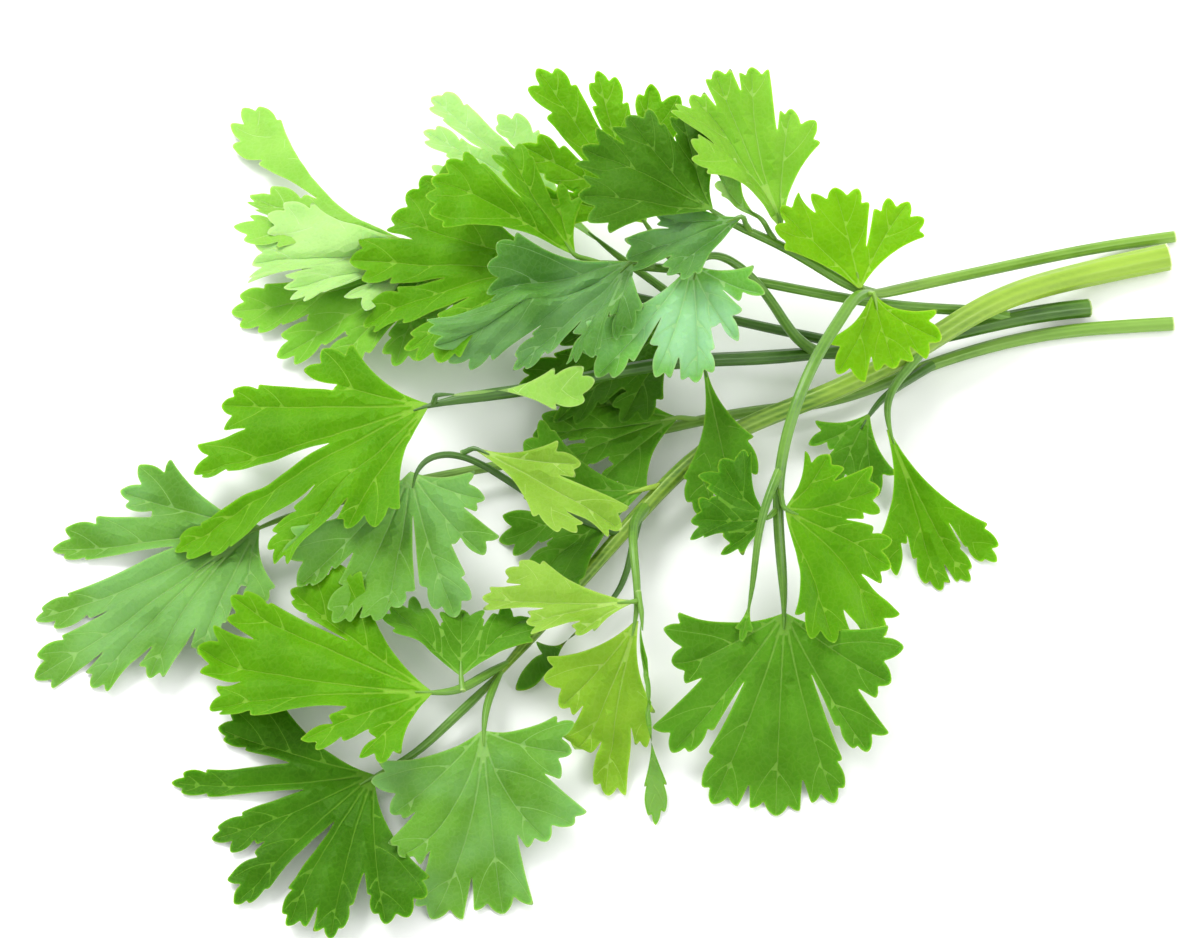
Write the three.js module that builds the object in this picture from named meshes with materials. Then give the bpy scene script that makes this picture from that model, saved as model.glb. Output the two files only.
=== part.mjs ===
// A cut bunch of flat-leaf parsley lying on a flat surface: four stalks, their side stems and
// their leaf blades. Millimetres, +X from the leafy end to the cut ends, +Z up.
import * as THREE from "three";
import { mergeVertices } from "three/addons/utils/BufferGeometryUtils.js";

// Overall sizes. The layout below is written for DRAWN and stretches with them.
const BUNCH_LENGTH = 200;
const BUNCH_DEPTH = 150;
const BUNCH_LOFT = 50;
const DRAWN = { length: 200, depth: 150, loft: 50 };

// Sizes that each stand alone.
const LEAF_SIZE = 1; // times every leaf length
const STEM_SIZE = 1; // times every stem radius
const BLADE_THICKNESS = 0.5;
const CLEARANCE = 0.3; // between pieces that touch
const TIP_RADIUS = 0.5; // of a stem where it meets a blade
const BLADE_STANDOFF = 0.8; // of a blade's hub from the side of the stem it grows out of

// A blade's edge between its lobes.
const NOTCH = 0.68; // how far out a cut between two lobes reaches, as a share of the shorter one
const SHOULDER = 0.5; // a lobe's side teeth, between its tip and the cut
const SHOULDER_REACH = 0.86; // their distance from the hub, as a share of the lobe
const OUTER_HALF = 20; // degrees outside the first and the last lobe
const BASE_REACH = 0.42; // how far the blade's base corners reach, as a share of the lobe
const WIDEST = 122; // degrees either side of the midrib

const STEM_SIDES = 7;
const STEM_STEP = 6; // between a stem's rings
const CELL = 1; // of the record of what is already laid
const CLIMB = 0.45; // how steeply a stem climbs over what lies under it

const { clamp, degToRad } = THREE.MathUtils;
const UP = new THREE.Vector3(0, 0, 1);

function at([x, y, z]) {
  return new THREE.Vector3(
    (x * BUNCH_LENGTH) / DRAWN.length,
    (y * BUNCH_DEPTH) / DRAWN.depth,
    (z * BUNCH_LOFT) / DRAWN.loft,
  );
}

// ---- What is already laid: the top of each piece over each square cell of the surface.

const laid = new Map();

function cellsWithin(x, y, reach) {
  const keys = [];
  for (let i = Math.floor((x - reach) / CELL); i <= Math.floor((x + reach) / CELL); i++) {
    for (let j = Math.floor((y - reach) / CELL); j <= Math.floor((y + reach) / CELL); j++) {
      keys.push(`${i},${j}`);
    }
  }
  return keys;
}

function topAt(x, y, reach, except) {
  let top = 0;
  for (const key of cellsWithin(x, y, reach)) {
    for (const [owner, z] of laid.get(key) ?? []) {
      if (!except.includes(owner)) top = Math.max(top, z + CLEARANCE);
    }
  }
  return top;
}

// Points over a triangle, less than a cell apart, each with its shares of the three corners.
function pointsOver(a, b, c) {
  const longest = Math.max(a.distanceTo(b), b.distanceTo(c), c.distanceTo(a));
  const steps = Math.max(1, Math.ceil(longest / (0.6 * CELL)));
  const points = [];
  for (let i = 0; i <= steps; i++) {
    for (let j = 0; j <= steps - i; j++) {
      const shares = [steps - i - j, i, j].map((count) => count / steps);
      const point = a.clone().multiplyScalar(shares[0]);
      point.addScaledVector(b, shares[1]).addScaledVector(c, shares[2]);
      points.push({ point, shares });
    }
  }
  return points;
}

function lay(owner, geometry) {
  const { index, attributes } = geometry;
  const corner = (k) => new THREE.Vector3().fromBufferAttribute(attributes.position, index.getX(k));
  for (let f = 0; f < index.count; f += 3) {
    for (const { point } of pointsOver(corner(f), corner(f + 1), corner(f + 2))) {
      const [key] = cellsWithin(point.x, point.y, 0);
      const cell = laid.get(key) ?? laid.set(key, new Map()).get(key);
      cell.set(owner, Math.max(cell.get(owner) ?? 0, point.z));
    }
  }
}

// A closed mesh with shared vertices and no collapsed triangles.
function cleaned(geometry) {
  geometry.deleteAttribute("normal");
  geometry.deleteAttribute("uv");
  const merged = mergeVertices(geometry, 1e-4);
  const kept = [];
  for (let f = 0; f < merged.index.count; f += 3) {
    const [a, b, c] = [f, f + 1, f + 2].map((k) => merged.index.getX(k));
    if (a !== b && b !== c && c !== a) kept.push(a, b, c);
  }
  merged.setIndex(kept);
  merged.clearGroups();
  return merged;
}

// ---- Blades

// A blade's edge as [degrees left of the midrib, distance from the hub], from right to left.
function edgeRays({ lobes, notch = NOTCH, outer = OUTER_HALF }) {
  const rays = [];
  const ray = (degrees, reach) => rays.push([clamp(degrees, -WIDEST, WIDEST), reach * LEAF_SIZE]);
  lobes.forEach(([degrees, length], k) => {
    const next = lobes[k + 1];
    const before = k ? (degrees - lobes[k - 1][0]) / 2 : outer;
    const after = next ? (next[0] - degrees) / 2 : outer;
    if (!k) ray(degrees - 1.4 * before, BASE_REACH * length);
    ray(degrees - SHOULDER * before, SHOULDER_REACH * length);
    ray(degrees, length);
    ray(degrees + SHOULDER * after, SHOULDER_REACH * length);
    if (next) ray(degrees + after, notch * Math.min(length, next[1]));
    else ray(degrees + 1.4 * after, BASE_REACH * length);
  });
  return rays;
}

// A blade's axes: along its midrib, to its left, and up through it.
function bladeAxes({ heading, rise = 0, roll = 0 }) {
  const [h, r] = [degToRad(heading), degToRad(rise)];
  const along = new THREE.Vector3(Math.cos(h) * Math.cos(r), Math.sin(h) * Math.cos(r), Math.sin(r));
  const left = new THREE.Vector3(-Math.sin(h), Math.cos(h), 0).applyAxisAngle(along, degToRad(roll));
  return [along, left, new THREE.Vector3().crossVectors(along, left)];
}

// The middle surface of a blade over its flat outline: it droops along the midrib, folds up
// along it, and cups down at its sides.
function bladeSurface(u, v, length, { droop = 20, fold = 0.15, cup = 0.12 }) {
  const bend = degToRad(droop || 0.01) / length;
  const turn = u * bend;
  const normal = new THREE.Vector3(Math.sin(turn), 0, Math.cos(turn));
  const point = new THREE.Vector3(Math.sin(turn) / bend, v, (Math.cos(turn) - 1) / bend);
  point.addScaledVector(normal, fold * (Math.hypot(v, 2) - 2) - (cup * v * v) / length);
  return { point, normal };
}

// A box wrapped round the hub as a fan of rays by two rings. Where something is already laid
// under it, the blade is raised over that. The hub may be raised too.
function makeBlade(spec, hub) {
  const rays = edgeRays(spec);
  const length = Math.max(...rays.map(([, reach]) => reach));
  const frame = new THREE.Matrix4().makeBasis(...bladeAxes(spec)).setPosition(hub);
  const turned = new THREE.Matrix3().setFromMatrix4(frame);
  const net = [1, 2].map((ring) =>
    rays.map(([degrees, reach]) => {
      const angle = degToRad(degrees);
      const out = (reach * ring) / 2;
      const spot = bladeSurface(out * Math.cos(angle), out * Math.sin(angle), length, spec);
      return { point: spot.point.applyMatrix4(frame), normal: spot.normal.applyMatrix3(turned), lift: 0 };
    }),
  );
  const centre = { point: hub.clone(), normal: bladeAxes(spec)[2], lift: 0 };
  const [mid, rim] = net;
  const facets = [];
  for (let k = 0; k + 1 < rays.length; k++) {
    facets.push([centre, mid[k], mid[k + 1]]);
    facets.push([mid[k], rim[k], rim[k + 1]], [mid[k], rim[k + 1], mid[k + 1]]);
  }
  // Each spot that would sink into what lies under it raises the corners it is nearest to,
  // starting with the corners themselves.
  const spots = facets.flatMap((corners) =>
    pointsOver(...corners.map((corner) => corner.point)).map(({ point, shares }) => ({
      corners,
      shares,
      need: topAt(point.x, point.y, CELL / 2, []) + BLADE_THICKNESS / 2 - point.z,
      pull: shares.reduce((sum, share) => sum + share * share, 0),
    })),
  );
  spots.sort((one, other) => other.pull - one.pull);
  for (const { corners, shares, need, pull } of spots) {
    const short = need - corners.reduce((sum, { lift }, k) => sum + lift * shares[k], 0);
    if (short > 0) corners.forEach((corner, k) => (corner.lift += (short * shares[k]) / pull));
  }

  const box = new THREE.BoxGeometry(1, 1, 1, rays.length - 1, 2, 1);
  const { position } = box.attributes;
  for (let k = 0; k < position.count; k++) {
    const ring = Math.round(2 * (position.getY(k) + 0.5));
    const ray = Math.round((position.getX(k) + 0.5) * (rays.length - 1));
    const { point, normal, lift } = ring ? net[ring - 1][ray] : centre;
    const corner = point.clone().addScaledVector(normal, -position.getZ(k) * BLADE_THICKNESS);
    position.setXYZ(k, corner.x, corner.y, corner.z + lift);
  }
  hub.z += centre.lift;
  return cleaned(box);
}

// ---- Stems

const stems = new Map(); // name to { centres, radii }, for what grows out of them

function nearestOf(points, to) {
  let best = 0;
  points.forEach((point, k) => {
    if (point.distanceTo(to) < points[best].distanceTo(to)) best = k;
  });
  return best;
}

// Where a piece heading towards a point leaves a stem's side, clear of it by more than its own
// radius. A blade leaves from nearer the top.
function onStem(name, near, towards, radius, upwards = 0) {
  const { centres, radii } = stems.get(name);
  const k = nearestOf(centres, near);
  const after = centres[Math.min(k + 1, centres.length - 1)];
  const line = after.clone().sub(centres[Math.max(k - 1, 0)]).normalize();
  const way = towards.clone().sub(centres[k]).normalize();
  const along = way.dot(line);
  const atEnd = k === centres.length - 1 && along > 0.3;
  if (atEnd) return centres[k].clone().addScaledVector(way, 2 * CLEARANCE);
  const side = way.clone().addScaledVector(UP, upwards);
  const out = side.addScaledVector(line, -side.dot(line)).normalize();
  const reach = radii[k] + (upwards ? radius : radius * Math.abs(along));
  return centres[k].clone().addScaledVector(out, reach + CLEARANCE);
}

// A round tube along a path, raised over what is already laid and thinner towards its end.
function makeStem({ stem, path, thick, from }, end, arrival) {
  const [first, last] = thick.map((radius) => radius * STEM_SIZE);
  const tip = Math.min(last, TIP_RADIUS * STEM_SIZE);
  const points = path.map(at);
  points.push(end.clone().addScaledVector(arrival, -5), end);
  if (from) points[0] = onStem(from, points[0], points[1], first);
  const drawn = new THREE.CatmullRomCurve3(points, false, "centripetal");
  const steps = Math.max(5, Math.round(drawn.getLength() / STEM_STEP));
  const spots = drawn.getSpacedPoints(2 * steps);
  const radiusAt = (share) => (share > 0.93 ? tip : first + (last - first) * share);
  const needs = spots.map(({ x, y, z }, k) => {
    const radius = radiusAt(k / (2 * steps)) / Math.cos(Math.PI / STEM_SIDES);
    return Math.max(0, topAt(x, y, radius, [from]) + radius - z);
  });
  needs[2 * steps] = 0; // the end follows its blade
  const raised = spots.map((spot, k) => {
    const lift = Math.max(...needs.map((need, i) => need - CLIMB * spot.distanceTo(spots[i])), 0);
    return spot.clone().setZ(spot.z + (k === 2 * steps ? 0 : lift));
  });
  const curve = new THREE.CatmullRomCurve3(raised, false, "centripetal");
  const ring = Array.from({ length: STEM_SIDES }, (_, k) => {
    const turn = (2 * Math.PI * k) / STEM_SIDES;
    return new THREE.Vector2(first * Math.cos(turn), first * Math.sin(turn));
  });
  const section = new THREE.Shape(ring);
  const tube = new THREE.ExtrudeGeometry(section, { extrudePath: curve, steps, curveSegments: 1 });
  const centres = curve.getSpacedPoints(steps);
  const { position } = tube.attributes;
  for (let k = 0; k < position.count; k++) {
    const corner = new THREE.Vector3().fromBufferAttribute(position, k);
    const near = nearestOf(centres, corner);
    corner.sub(centres[near]).multiplyScalar(radiusAt(near / steps) / first).add(centres[near]);
    position.setXYZ(k, ...corner.toArray());
  }
  const fine = curve.getSpacedPoints(10 * steps);
  stems.set(stem, { centres: fine, radii: fine.map((_, k) => radiusAt(k / (10 * steps))) });
  return cleaned(tube);
}

// ---- The bunch, in the order it is laid. Each entry is a stem, a blade, or both, and then the
// blade's hub is where the stem ends. A blade with no stem of its own grows out of the side of the
// stem named by on, near a place. Lobes are [degrees left of the midrib, length], right to left.

const BUNCH = [
  // Stalk d lies lowest and carries the blade furthest from the cut ends.
  { stem: "stalk_d", thick: [1.2, 0.7],
    path: [[99, 33.2, 1.3], [78, 31.6, 1.3], [67, 28.9, 1.3], [51, 22.5, 2], [39.5, 16, 3], [25, 14, 4],
      [10, 10.5, 4], [-12, 4, 4.5], [-35, -1, 5]],
    leaf: "leaf_d_far", hub: [-61.5, -10.5, 6], heading: -162, rise: -4, colour: "blue",
    lobes: [[-36, 26], [-15, 37], [4, 43], [17, 48], [27, 41], [39, 34], [51, 27], [66, 17]] },
  { leaf: "leaf_d_dark", on: "stalk_d", near: [11, 11, 4], heading: -176, rise: 4, colour: "dark",
    lobes: [[-22, 23], [0, 26], [20, 23], [41, 20]] },
  { leaf: "leaf_d_back", stem: "stem_d_back", from: "stalk_d", thick: [0.8, 0.6],
    path: [[52, 22.8, 2], [48.5, 16, 6]], hub: [44.4, 11, 7.5], heading: -117, rise: -14, colour: "dark",
    lobes: [[-38, 12], [-2, 15.5], [30, 15]] },

  // Stalk c forks. Its far stem runs to the back left, low down.
  { stem: "stalk_c", thick: [1.6, 1.3],
    path: [[84, 35.8, 1.7], [65, 31.2, 3], [45, 25.5, 5], [32, 22.8, 8]] },
  { stem: "stem_c_far", from: "stalk_c", thick: [0.9, 0.6],
    path: [[40, 24.5, 5], [24, 29, 8], [4, 34, 9], [-16, 39, 9], [-36, 42, 9]] },
  { leaf: "leaf_c_far_front", on: "stem_c_far", near: [-30, 41, 9], heading: -161, rise: -8,
    colour: "bright", lobes: [[-26, 28], [-12, 40], [7, 34], [24, 28], [48, 22]] },
  { leaf: "leaf_c_far_up", on: "stem_c_far", near: [-36.5, 42, 9], heading: 136, rise: -3, colour: "pale",
    outer: 9, notch: 0.4, lobes: [[-6, 49], [15, 33], [31, 32]] },
  { leaf: "leaf_c_far_low", on: "stem_c_far", near: [-32, 41.5, 9], heading: 174, rise: 3, colour: "pale",
    lobes: [[-12, 31], [4, 33], [19, 27], [34, 18]] },
  { leaf: "leaf_c_far_small", on: "stem_c_far", near: [-22, 40, 9], heading: -140, rise: 8, droop: 5,
    colour: "pale", lobes: [[-24, 13], [0, 17], [26, 13]] },
  { leaf: "leaf_c_pale", stem: "stem_c_pale", from: "stem_c_far", thick: [0.75, 0.6],
    path: [[10, 32.5, 11], [4, 37, 14]], hub: [-2.4, 41, 16], heading: 133, rise: 4, colour: "pale",
    outer: 9, notch: 0.75, lobes: [[-9, 33], [-1, 46], [8, 41], [19, 34]] },
  { leaf: "leaf_c_high", stem: "stem_c_high", from: "stem_c_far", thick: [0.75, 0.6],
    path: [[16, 31, 10], [11, 37, 16]], hub: [5.5, 42.5, 20], heading: 118, rise: 28, colour: "bright",
    lobes: [[-28, 25], [-9, 29], [8, 34], [34, 26], [54, 23]] },
  { leaf: "leaf_c_under", on: "stem_c_far", near: [14, 31.5, 9.5], heading: -153, rise: -6, droop: 8,
    colour: "dark", outer: 12, lobes: [[-20, 26], [-4, 34], [12, 32], [32, 25]] },

  // The stem of stalk c that runs over these to the left.
  { stem: "stem_c_back", from: "stalk_c", thick: [0.95, 0.7],
    path: [[66, 31.5, 2], [56, 31.5, 9], [41.5, 28.5, 17], [16, 30.5, 23]],
    leaf: "leaf_c_left", hub: [-9.5, 31.8, 24], heading: 171, rise: -14, colour: "bright",
    lobes: [[-18, 36], [-2, 42], [14, 38], [34, 31]] },
  { leaf: "leaf_c_left_up", on: "stem_c_back", near: [-6.5, 31.8, 24], heading: 136, rise: 12,
    colour: "bright", lobes: [[-34, 14], [-14, 25], [14, 29]] },

  // Stalk b, the thickest, lies over stalks c and d, and carries the blades at the front left.
  { stem: "stalk_b", thick: [2.35, 0.95],
    path: [[98.5, 46.3, 2.4], [85, 43, 2.5], [77, 38.8, 3.4], [67.5, 33, 5], [54.5, 24.4, 6.8],
      [39.5, 15, 7.5], [25.5, 10.5, 7.5], [13.5, 2.4, 7.5], [2, -11.4, 6.5], [-14.5, -31.5, 4],
      [-22.5, -42, 4]] },
  { leaf: "leaf_b_front_left", stem: "stem_b_front_left", from: "stalk_b", thick: [0.85, 0.6],
    path: [[-23, -43, 4], [-31, -50.5, 4]], hub: [-41, -58, 4], heading: -171, rise: -2, colour: "bright",
    lobes: [[-30, 29], [-9, 35.5], [12, 30], [36, 33], [54, 31.5], [69, 32], [86, 29]] },
  { leaf: "leaf_b_front", stem: "stem_b_front", from: "stalk_b", thick: [0.8, 0.6],
    path: [[-22, -41, 4], [-22.2, -46, 6]], hub: [-22.5, -51, 7], heading: -95, rise: -5, colour: "bright",
    lobes: [[-40, 22], [-24, 28], [-9, 35], [11, 33], [34, 23], [78, 16]] },
  { leaf: "leaf_b_strip", stem: "stem_b_strip", from: "stalk_b", thick: [0.6, 0.5],
    path: [[2, -12, 6], [2, -18, 5.5]], hub: [-1.5, -26, 4.5], heading: -139, rise: -5,
    colour: "dark", outer: 10, lobes: [[0, 22]] },
  { leaf: "leaf_b_left", stem: "stem_b_left", from: "stalk_b", thick: [0.85, 0.7],
    path: [[-20.5, -39.5, 4], [-26, -43, 8]], hub: [-31, -46, 11], heading: 165, rise: -1, colour: "bright",
    lobes: [[-26, 33], [-15, 41], [0, 43], [14, 39], [36, 24], [62, 18]] },
  { leaf: "leaf_b_left_up", on: "stem_b_left", near: [-26.5, -43.3, 8], heading: 92, rise: 4,
    colour: "dark", lobes: [[-46, 17], [-2, 14], [42, 18]] },
  { leaf: "leaf_b_low", on: "stalk_b", near: [6, -5.5, 7], heading: -168, rise: -10, colour: "dark",
    lobes: [[-24, 24], [0, 28], [24, 25]] },
  { leaf: "leaf_b_thin", stem: "stem_b_thin", from: "stalk_b", thick: [0.65, 0.55],
    path: [[-1, -14.5, 7], [-8, -11, 9], [-18.5, -6, 13], [-26, -0.5, 16], [-31, -1, 18]],
    hub: [-35.2, -6, 17], heading: -98, rise: -14, droop: 12, colour: "blue",
    lobes: [[-36, 28], [-17, 31], [-3, 30.5], [25, 27], [48, 20], [76, 14]] },
  { leaf: "leaf_b_curled", on: "stem_b_thin", near: [-24.5, -1, 15], heading: -34, rise: 8, colour: "pale",
    fold: 0.5, outer: 12, lobes: [[-12, 25], [2, 30], [20, 19]] },
  { leaf: "leaf_b_right", stem: "stem_b_right", from: "stalk_b", thick: [0.85, 0.6],
    path: [[51, 22, 7], [48, 15, 11.5], [47, 10, 12]], hub: [47.4, 6, 11], heading: -70, rise: -18,
    colour: "bright", outer: 9, lobes: [[-15, 26], [-1, 32], [9, 32], [20, 31]] },
  { leaf: "leaf_b_yellow", stem: "stem_b_yellow", from: "stalk_b", thick: [0.85, 0.6],
    path: [[2.5, -11, 7], [2.7, -19, 13], [3.2, -27, 15]], hub: [3.8, -33.5, 14], heading: -106, rise: -20,
    colour: "bright", lobes: [[-27, 20], [-9, 27], [4, 32], [19, 22]] },
  { leaf: "leaf_b_yellow_left", on: "stem_b_yellow", near: [3.5, -30.5, 14.5], heading: 168, rise: -2,
    colour: "bright", outer: 10, lobes: [[-8, 24], [4, 27], [20, 19], [44, 12]] },
  { leaf: "leaf_b_yellow_strip", on: "stem_b_yellow", near: [3.8, -32, 14.3], heading: -86, rise: -24,
    colour: "bright", outer: 5, lobes: [[0, 40]] },

  // What grows from the fork of stalk c.
  { stem: "stem_c_main", from: "stalk_c", thick: [1.25, 1],
    path: [[31, 22, 8], [24, 19.5, 11.5], [14.5, 18.5, 14], [-2.5, 13, 17.5], [-16, 8, 20]],
    leaf: "leaf_c_big", hub: [-32, 5.6, 20], heading: -170, rise: -12, colour: "bright",
    lobes: [[-32, 24], [-19, 39], [-2, 45], [14, 52], [34, 39], [48, 27]] },
  { leaf: "leaf_c_side", on: "stem_c_main", near: [15, 18, 14], heading: -78, rise: -14, colour: "dark",
    outer: 9, lobes: [[-14, 27], [1, 31], [14, 22]] },
  { leaf: "leaf_c_blue", stem: "stem_c_blue", from: "stalk_c", thick: [0.95, 0.6],
    path: [[31, 23.5, 8], [27.5, 27, 17], [21, 31, 26]], hub: [13.3, 28, 30], heading: -92, rise: -16,
    colour: "blue", lobes: [[-38, 26], [-16, 21], [4, 21], [32, 16], [68, 14]] },
  { leaf: "leaf_c_blue_left", on: "stem_c_back", near: [3, 31.3, 24], heading: -161, rise: -11,
    colour: "blue", lobes: [[-10, 27], [3, 40], [20, 28], [38, 22], [62, 16]] },

  // Stalk a stands highest at its node.
  { stem: "stalk_a", thick: [1, 0.95],
    path: [[100, 51.5, 1.1], [85, 48.4, 2.2], [78, 45.6, 4], [54.4, 33.7, 14], [42, 25.7, 22]] },
  { stem: "stem_a_upper", from: "stalk_a", thick: [0.95, 0.7],
    path: [[43, 26.5, 21.5], [35, 31.5, 24], [28, 34.3, 27], [22, 35, 31], [17.5, 35.2, 33]] },
  { leaf: "leaf_a_dark_low", on: "stem_a_upper", near: [21, 35, 31.5], heading: -168, rise: -2, droop: 12,
    colour: "blue", lobes: [[-22, 15], [0, 21], [22, 16]] },
  { leaf: "leaf_a_dark", on: "stem_a_upper", near: [17, 35.2, 33], heading: 146, rise: 20, colour: "dark",
    lobes: [[-40, 21], [-16, 24], [8, 26], [30, 24]] },
  { leaf: "leaf_a_fold", on: "stem_a_upper", near: [24, 35, 28], heading: 140, rise: 20, colour: "pale",
    fold: 0.6, outer: 16, lobes: [[0, 10]] },
  { leaf: "leaf_a_upright", on: "stem_a_upper", near: [28, 34.3, 27], heading: 110, rise: 34,
    colour: "bright", outer: 12, notch: 0.8, lobes: [[-22, 22], [-8, 30], [4, 31], [15, 29], [30, 22]] },
  { leaf: "leaf_a_node", on: "stalk_a", near: [43, 26, 22], heading: 104, rise: 30, colour: "bright",
    lobes: [[-42, 18], [0, 19], [36, 18]] },
  { leaf: "leaf_a_node_front", on: "stalk_a", near: [44, 27, 21], heading: -72, rise: -12,
    colour: "bright", lobes: [[-42, 15], [0, 13], [42, 14]] },
  { stem: "stem_a_arch", from: "stalk_a", thick: [1.05, 0.85],
    path: [[42, 25, 22], [40, 19, 28], [35, 10, 32], [31, -1, 32], [28, -8.5, 28], [27.5, -17, 21],
      [28.5, -24.5, 16.5]],
    leaf: "leaf_a_end", hub: [29, -31.5, 13], heading: -93, rise: -15, colour: "bright",
    lobes: [[-60, 22], [-36, 31], [-18, 35.5], [0, 36.5], [17, 34], [33, 28], [58, 22]] },
  { leaf: "leaf_a_right", on: "stem_a_arch", near: [27.7, -17, 21.5], heading: -30, rise: -24,
    colour: "bright", lobes: [[-34, 24], [-10, 28], [14, 22], [52, 19], [86, 14]] },
  { leaf: "leaf_a_arch_left", on: "stem_a_arch", near: [27.6, -18.5, 20.5], heading: 168, rise: -6,
    colour: "dark", lobes: [[-48, 16], [0, 14], [48, 10]] },
  { leaf: "leaf_a_edge", stem: "stem_a_edge", from: "stem_a_arch", thick: [0.7, 0.5],
    path: [[27.6, -16.5, 21.3], [24.2, -21, 19.5], [23.6, -26, 18]], hub: [23.2, -30, 15.5], heading: -103,
    rise: -40, colour: "bright", outer: 10, lobes: [[0, 12]] },

  // A pale folded blade that lies back over the stem of leaf_c_big.
  { leaf: "leaf_c_back", on: "stem_c_main", near: [-30, 6, 20], heading: 5, rise: 0, droop: 6,
    colour: "pale", fold: 0.45, outer: 8, lobes: [[0, 28]] },
];

const COLOURS = {
  stem: "#7fae35",
  dark: "#3f7f22",
  bright: "#5fa51d",
  pale: "#a5cf5f",
  blue: "#5d9a5a",
};

const bunch = new THREE.Group();

function add(name, geometry, colour, roughness) {
  lay(name, geometry);
  const material = new THREE.MeshStandardMaterial({ color: COLOURS[colour], roughness, metalness: 0 });
  const mesh = new THREE.Mesh(geometry.toNonIndexed(), material);
  mesh.geometry.computeVertexNormals();
  mesh.name = name;
  bunch.add(mesh);
}

for (const piece of BUNCH) {
  if (!piece.leaf) {
    const path = piece.path.slice(0, -1);
    const [before, end] = piece.path.slice(-2).map(at);
    add(piece.stem, makeStem({ ...piece, path }, end, end.clone().sub(before).normalize()), "stem", 0.5);
    continue;
  }
  const [along] = bladeAxes(piece);
  let hub = at(piece.hub ?? piece.near);
  if (!piece.hub) hub = onStem(piece.on, hub, hub.clone().addScaledVector(along, 10), BLADE_STANDOFF, 1);
  const blade = makeBlade(piece, hub);
  if (piece.stem) {
    const end = hub.clone().addScaledVector(along, -2 * CLEARANCE);
    add(piece.stem, makeStem(piece, end, along), "stem", 0.5);
  }
  add(piece.leaf, blade, piece.colour, 0.55);
}

// The bunch rests on z = 0, and its box is centred on the origin.
const box = new THREE.Box3().setFromObject(bunch);
const middle = box.getCenter(new THREE.Vector3());
bunch.position.set(-middle.x, -middle.y, -box.min.z);

export default bunch;
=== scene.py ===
import math
import random

import bmesh
import bpy
import numpy as np
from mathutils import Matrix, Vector
from mathutils.geometry import delaunay_2d_cdt


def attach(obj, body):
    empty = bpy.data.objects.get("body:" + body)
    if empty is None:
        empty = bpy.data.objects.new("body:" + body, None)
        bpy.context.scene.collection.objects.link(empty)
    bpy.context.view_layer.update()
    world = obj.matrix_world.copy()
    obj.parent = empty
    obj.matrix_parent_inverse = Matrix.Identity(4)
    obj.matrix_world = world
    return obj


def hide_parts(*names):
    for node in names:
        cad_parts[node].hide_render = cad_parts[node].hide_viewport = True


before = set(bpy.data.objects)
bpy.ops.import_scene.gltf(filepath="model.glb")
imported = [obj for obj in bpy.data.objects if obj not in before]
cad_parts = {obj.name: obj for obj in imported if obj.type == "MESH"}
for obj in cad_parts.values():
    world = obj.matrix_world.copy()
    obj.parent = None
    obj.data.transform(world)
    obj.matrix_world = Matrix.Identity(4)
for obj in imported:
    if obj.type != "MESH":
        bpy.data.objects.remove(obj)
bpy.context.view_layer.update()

MM = 0.001

# ---- Sizes, in millimetres ---------------------------------------------------------------------

SHEET = 0.3  # a blade's thickness away from its margin
MARGIN_STEP = 0.45  # between points on a blade's margin
TOOTH = 4.9  # from one tooth to the next
NARROWEST = 2.7  # half the width of a lobe near its end
VEIN_STEP = 0.9  # between points on a vein
MESH_STEP = 1.15  # between points inside a blade
MAIN_VEIN = (0.3, 0.06)  # half width at the hub and at the lobe's tip
SIDE_VEIN = (0.1, 0.04)
FOLD = 0.26  # how steeply a lobe rises either side of its vein
FOLD_REACH = 5  # how far from its vein it goes on rising
GROOVE = 0.22  # how deep a main vein lies
QUILT = 0.28  # how far the blade swells between its veins
WAVE = 0.9  # how far its margin waves up and down
DEPTH = 0.82  # times every colour of the plant
LOWEST = 0.25  # the middle of a blade above the surface that it lies on
NOTCH = 0.77  # a cut that ends further out than this only notches the margin
NARROWING = (0.45, 0.45)  # of a blade outside its first and its last lobe
CHART = 0.01  # a blade's chart, for each mm
RIBS = 9  # along every stem
RIB_DEPTH = 0.045  # as a share of the stem's radius
RING_STEP = 0.7  # between the rings of a stem
LINE_STEP = 0.5  # between points on a stem's centre line
BEND_STEP = 3.5  # between the points that a stem bends at
AT_END = 4.5  # a blade whose hub is nearer than this to a stem's end is the one at its end
PETIOLE_END = 0.42  # radius of a stem where it enters a blade
VEIN_END = 0.12  # radius of a stem where it ends inside the blade

# ---- The bunch: which stem each stem leaves, and which one each blade stands on ------------------

STEMS = {
    "stalk_a": None,
    "stalk_b": None,
    "stalk_c": None,
    "stalk_d": None,
    "stem_d_back": "stalk_d",
    "stem_c_far": "stalk_c",
    "stem_c_pale": "stem_c_far",
    "stem_c_high": "stem_c_far",
    "stem_c_back": "stalk_c",
    "stem_c_main": "stalk_c",
    "stem_c_blue": "stalk_c",
    "stem_b_front_left": "stalk_b",
    "stem_b_front": "stalk_b",
    "stem_b_strip": "stalk_b",
    "stem_b_left": "stalk_b",
    "stem_b_thin": "stalk_b",
    "stem_b_right": "stalk_b",
    "stem_b_yellow": "stalk_b",
    "stem_a_upper": "stalk_a",
    "stem_a_arch": "stalk_a",
    "stem_a_edge": "stem_a_arch",
}

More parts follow.
